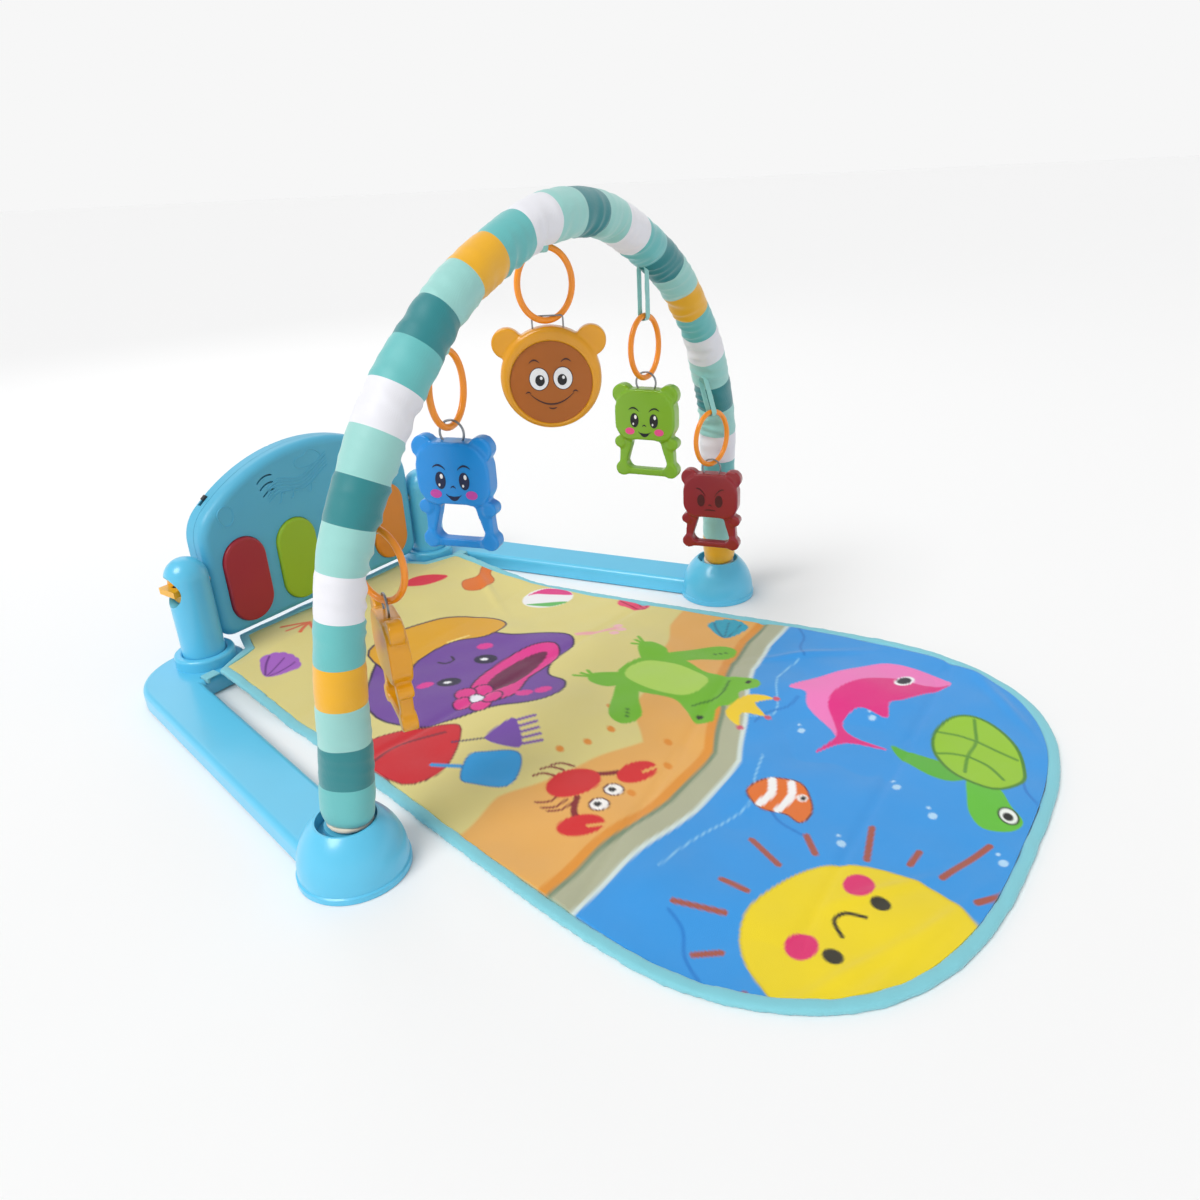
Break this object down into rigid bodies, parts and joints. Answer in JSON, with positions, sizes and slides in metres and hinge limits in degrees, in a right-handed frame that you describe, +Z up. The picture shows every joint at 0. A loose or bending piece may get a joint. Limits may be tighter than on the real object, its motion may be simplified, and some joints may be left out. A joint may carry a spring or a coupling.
{
  "type": "activity play gym",
  "caption": "Baby play gym: a floor mat between two flat arms under a padded arch of hanging toys, with a tilting kick piano at the head end.",
  "frame": {"origin": "on the floor in the middle of the footprint", "axes": "+X to the right, +Y to the piano, +Z up"},
  "size_m": [0.576, 0.734, 0.4117],
  "materials": {
    "blue_plastic": "glossy",
    "matte_blue_plastic": "matte",
    "steel": "plain",
    "knob_yellow": "glossy",
    "grey_rubber": "matte",
    "sleeve_fabric": "satin, striped",
    "cream_elastic": "ribbed",
    "mat_fabric": "printed",
    "binding_fabric": "woven tape",
    "orange_plastic": "glossy",
    "toy_yellow": "glossy",
    "toy_blue": "glossy",
    "toy_green": "glossy",
    "toy_red": "glossy",
    "wire": "fine wire",
    "brown_disc": "satin",
    "key_red": "satin",
    "key_green": "satin",
    "key_purple": "satin",
    "key_orange": "satin",
    "board_green": "board",
    "dark_plastic": "matte",
    "cell_metal": "glossy label"
  },
  "bodies": {
    "base": {"left_arm": "blue_plastic", "right_arm": "blue_plastic", "left_arm_cover": "matte_blue_plastic", "right_arm_cover": "matte_blue_plastic", "left_dome": "blue_plastic", "right_dome": "blue_plastic", "left_rod_socket": "matte_blue_plastic", "right_rod_socket": "matte_blue_plastic", "left_cuff": "cream_elastic", "right_cuff": "cream_elastic", "left_arch_rod": "steel", "right_arch_rod": "steel", "left_post": "blue_plastic", "right_post": "blue_plastic", "left_mat_strap": "binding_fabric", "right_mat_strap": "binding_fabric", "arm_screws": "steel", "rubber_feet": "grey_rubber", "arch_joiner": "steel", "arch_padding": "cream_elastic", "arch_sleeve": "sleeve_fabric", "mat": "mat_fabric", "mat_binding": "binding_fabric", "hang_straps": "sleeve_fabric"},
    "piano": {"left_tilt_pin": "steel", "right_tilt_pin": "steel", "piano_front_shell": "matte_blue_plastic", "piano_rear_shell": "matte_blue_plastic", "circuit_board": "board_green", "key_contact_pads": "grey_rubber", "speaker": "dark_plastic", "battery_tray": "dark_plastic", "batteries": "cell_metal", "battery_contacts": "steel", "battery_door": "matte_blue_plastic", "piano_screws": "steel"},
    "power_switch": {"power_switch": "dark_plastic"},
    "key_red": {"key_red": "key_red"},
    "key_green": {"key_green": "key_green"},
    "key_purple": {"key_purple": "key_purple"},
    "key_orange": {"key_orange": "key_orange"},
    "left_lock_knob": {"left_lock_knob": "knob_yellow"},
    "right_lock_knob": {"right_lock_knob": "knob_yellow"},
    "ring_yellow": {"ring_yellow": "orange_plastic"},
    "ring_blue": {"ring_blue": "orange_plastic"},
    "ring_mirror": {"ring_mirror": "orange_plastic"},
    "ring_green": {"ring_green": "orange_plastic"},
    "ring_red": {"ring_red": "orange_plastic"},
    "toy_yellow": {"bear_yellow": "toy_yellow", "loop_yellow": "wire"},
    "toy_blue": {"bear_blue": "toy_blue", "loop_blue": "wire"},
    "toy_green": {"bear_green": "toy_green", "loop_green": "wire"},
    "toy_red": {"bear_red": "toy_red", "loop_red": "wire"},
    "toy_mirror": {"face_case": "toy_yellow", "face_disc": "brown_disc", "face_back": "toy_yellow", "face_bracket": "wire"}
  },
  "joints": [
    {"name": "piano_tilt", "type": "hinge", "parent": "base", "child": "piano", "pos_m": [0, 0.335, 0.092], "axis": [1, 0, 0], "range_deg": [-90, 15]},
    {"name": "press_key_red", "type": "slide", "parent": "piano", "child": "key_red", "axis": [0, 1, 0], "range_m": [0, 0.003], "stiffness_N_per_m": 400, "springref_m": -0.003},
    {"name": "press_key_green", "type": "slide", "parent": "piano", "child": "key_green", "axis": [0, 1, 0], "range_m": [0, 0.003], "stiffness_N_per_m": 400, "springref_m": -0.003},
    {"name": "press_key_purple", "type": "slide", "parent": "piano", "child": "key_purple", "axis": [0, 1, 0], "range_m": [0, 0.003], "stiffness_N_per_m": 400, "springref_m": -0.003},
    {"name": "press_key_orange", "type": "slide", "parent": "piano", "child": "key_orange", "axis": [0, 1, 0], "range_m": [0, 0.003], "stiffness_N_per_m": 400, "springref_m": -0.003},
    {"name": "turn_left_lock_knob", "type": "hinge", "parent": "base", "child": "left_lock_knob", "pos_m": [-0.15175, 0.335, 0.092], "axis": [1, 0, 0], "range_deg": [0, 90]},
    {"name": "turn_right_lock_knob", "type": "hinge", "parent": "base", "child": "right_lock_knob", "pos_m": [0.15175, 0.335, 0.092], "axis": [1, 0, 0], "range_deg": [0, 90]},
    {"name": "slide_power_switch", "type": "slide", "parent": "piano", "child": "power_switch", "axis": [-0.8192, 0, -0.5736], "range_m": [0, 0.004]},
    {"name": "swing_ring_yellow", "type": "hinge", "parent": "base", "child": "ring_yellow", "pos_m": [-0.196, 0.004, 0.2257], "axis": [0.0872, -0.9962, 0], "range_deg": [-3, 20]},
    {"name": "swing_toy_yellow", "type": "hinge", "parent": "ring_yellow", "child": "toy_yellow", "pos_m": [-0.196, 0.004, 0.1763], "axis": [0.0872, -0.9962, 0], "range_deg": [-2, 25]},
    {"name": "swing_ring_blue", "type": "hinge", "parent": "base", "child": "ring_blue", "pos_m": [-0.122, 0.002, 0.3207], "axis": [0.9744, 0.225, 0], "range_deg": [-20, 20]},
    {"name": "swing_toy_blue", "type": "hinge", "parent": "ring_blue", "child": "toy_blue", "pos_m": [-0.122, 0.002, 0.2713], "axis": [0.9744, 0.225, 0], "range_deg": [-25, 25]},
    {"name": "swing_ring_mirror", "type": "hinge", "parent": "base", "child": "ring_mirror", "pos_m": [-0.02, -0.002, 0.3732], "axis": [0.8829, -0.4695, 0], "range_deg": [-20, 20]},
    {"name": "swing_toy_mirror", "type": "hinge", "parent": "ring_mirror", "child": "toy_mirror", "pos_m": [-0.02, -0.002, 0.3238], "axis": [0.8829, -0.4695, 0], "range_deg": [-25, 25]},
    {"name": "swing_ring_green", "type": "hinge", "parent": "base", "child": "ring_green", "pos_m": [0.097, -0.007, 0.3102], "axis": [1, 0, 0], "range_deg": [-20, 20]},
    {"name": "swing_toy_green", "type": "hinge", "parent": "ring_green", "child": "toy_green", "pos_m": [0.097, -0.007, 0.2608], "axis": [1, 0, 0], "range_deg": [-25, 25]},
    {"name": "swing_ring_red", "type": "hinge", "parent": "base", "child": "ring_red", "pos_m": [0.193, -0.015, 0.2107], "axis": [0.9703, -0.2419, 0], "range_deg": [-12, 20]},
    {"name": "swing_toy_red", "type": "hinge", "parent": "ring_red", "child": "toy_red", "pos_m": [0.193, -0.015, 0.1613], "axis": [0.9703, -0.2419, 0], "range_deg": [-25, 25]}
  ]
}
